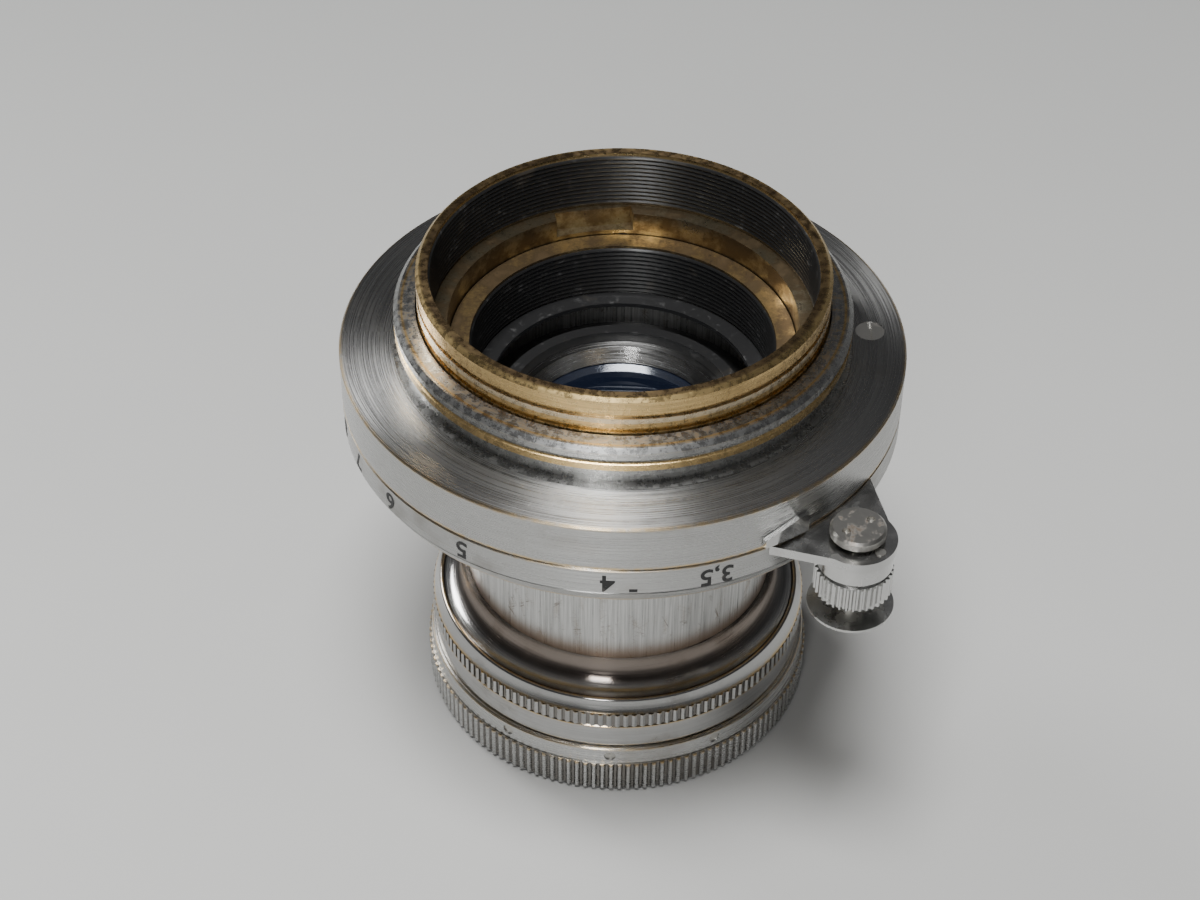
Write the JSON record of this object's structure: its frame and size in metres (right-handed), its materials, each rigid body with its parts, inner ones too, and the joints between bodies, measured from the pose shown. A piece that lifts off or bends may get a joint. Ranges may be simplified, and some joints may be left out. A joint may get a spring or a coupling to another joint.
{
  "type": "collapsible camera lens",
  "caption": "Collapsible standard lens for a rangefinder camera, with a screw mount, a focusing lever with infinity lock, a sliding barrel and an iris.",
  "frame": {"origin": "centre of the front rim, at the mouth of the filter thread", "axes": "+Z along the optical axis towards the camera body, X to the right and -Y towards the viewer as it stands on its front rim"},
  "size_m": [0.0486, 0.0486, 0.0465],
  "materials": {
    "chrome_plate": "satin chrome plate, worn to brass at the edges",
    "worn_brass": "tarnished brass",
    "steel": "aged steel",
    "black_enamel": "matte black",
    "optical_glass": "polished",
    "felt": "black felt"
  },
  "bodies": {
    "mount": {"mount_body": "chrome_plate", "thread_collar": "worn_brass", "flange_shim": "worn_brass", "flange_screw": "steel", "infinity_catch": "worn_brass", "catch_screws": "steel", "outer_helicoid": "worn_brass", "ring_retainer": "worn_brass"},
    "focus_ring": {"focus_ring": "chrome_plate", "guide_key": "steel", "lever_plate": "chrome_plate", "lever_rivet": "steel", "knob_drum": "chrome_plate"},
    "lock_pin": {"lock_pin": "steel", "lock_cap": "chrome_plate", "lock_button": "chrome_plate", "lock_spring": "steel"},
    "helicoid": {"helicoid_tube": "chrome_plate", "bayonet_ring": "chrome_plate", "bayonet_stop_screw": "steel", "collar_keeper": "worn_brass"},
    "bayonet_collar": {"bayonet_collar": "worn_brass", "felt_liner": "felt"},
    "barrel": {"barrel_tube": "chrome_plate", "barrel_lug_ring": "worn_brass", "rear_baffle": "black_enamel", "rear_cell": "black_enamel", "rear_retaining_ring": "chrome_plate", "rear_element": "optical_glass", "rear_doublet_crown": "optical_glass", "rear_doublet_flint": "optical_glass", "iris_base": "black_enamel", "iris_cover": "black_enamel", "front_cell": "black_enamel", "front_doublet_crown": "optical_glass", "front_doublet_flint": "optical_glass", "front_element": "optical_glass", "front_retaining_ring": "black_enamel", "front_housing": "chrome_plate", "trim_ring": "black_enamel"},
    "aperture_ring": {"aperture_ring": "chrome_plate", "aperture_grub_screws": "steel", "aperture_drive_pin": "steel", "iris_cam_ring": "black_enamel"},
    "blade_1": {"iris_blade_1": "black_enamel"},
    "blade_2": {"iris_blade_2": "black_enamel"},
    "blade_3": {"iris_blade_3": "black_enamel"},
    "blade_4": {"iris_blade_4": "black_enamel"},
    "blade_5": {"iris_blade_5": "black_enamel"},
    "blade_6": {"iris_blade_6": "black_enamel"}
  },
  "joints": [
    {"name": "focus_turn", "type": "hinge", "parent": "mount", "child": "focus_ring", "pos_m": [0, 0, 0.0324], "axis": [0, 0, -1], "range_deg": [0, 168.6]},
    {"name": "focus_travel", "type": "slide", "parent": "focus_ring", "child": "helicoid", "axis": [0, 0, -1], "range_m": [0, 0.00285]},
    {"name": "lock_press", "type": "slide", "parent": "focus_ring", "child": "lock_pin", "axis": [0, 0, 1], "range_m": [0, 0.0013], "stiffness_N_per_m": 300, "springref_m": -0.002, "deforming": ["lock_spring"]},
    {"name": "barrel_twist", "type": "hinge", "parent": "helicoid", "child": "bayonet_collar", "pos_m": [0, 0, 0.034], "axis": [0, 0, 1], "range_deg": [0, 25]},
    {"name": "collapse", "type": "slide", "parent": "bayonet_collar", "child": "barrel", "axis": [0, 0, 1], "range_m": [0, 0.0175]},
    {"name": "aperture_turn", "type": "hinge", "parent": "barrel", "child": "aperture_ring", "pos_m": [0, 0, 0.003], "axis": [0, 0, 1], "range_deg": [0, 70]},
    {"name": "blade_1_swing", "type": "hinge", "parent": "barrel", "child": "blade_1", "pos_m": [0.0119, 0, 0.0177], "axis": [0, 0, 1], "range_deg": [0, 38]},
    {"name": "blade_2_swing", "type": "hinge", "parent": "barrel", "child": "blade_2", "pos_m": [0.00595, 0.01031, 0.0177], "axis": [0, 0, 1], "range_deg": [0, 38]},
    {"name": "blade_3_swing", "type": "hinge", "parent": "barrel", "child": "blade_3", "pos_m": [-0.00595, 0.01031, 0.0177], "axis": [0, 0, 1], "range_deg": [0, 38]},
    {"name": "blade_4_swing", "type": "hinge", "parent": "barrel", "child": "blade_4", "pos_m": [-0.0119, 0, 0.0177], "axis": [0, 0, 1], "range_deg": [0, 38]},
    {"name": "blade_5_swing", "type": "hinge", "parent": "barrel", "child": "blade_5", "pos_m": [-0.00595, -0.01031, 0.0177], "axis": [0, 0, 1], "range_deg": [0, 38]},
    {"name": "blade_6_swing", "type": "hinge", "parent": "barrel", "child": "blade_6", "pos_m": [0.00595, -0.01031, 0.0177], "axis": [0, 0, 1], "range_deg": [0, 38]}
  ],
  "couplings": [
    {"joint": "focus_travel", "follows": "focus_turn", "m_per_rad": 0.00096843},
    {"joint": "blade_1_swing", "follows": "aperture_turn", "ratio": 0.5428},
    {"joint": "blade_2_swing", "follows": "aperture_turn", "ratio": 0.5428},
    {"joint": "blade_3_swing", "follows": "aperture_turn", "ratio": 0.5428},
    {"joint": "blade_4_swing", "follows": "aperture_turn", "ratio": 0.5428},
    {"joint": "blade_5_swing", "follows": "aperture_turn", "ratio": 0.5428},
    {"joint": "blade_6_swing", "follows": "aperture_turn", "ratio": 0.5428}
  ]
}
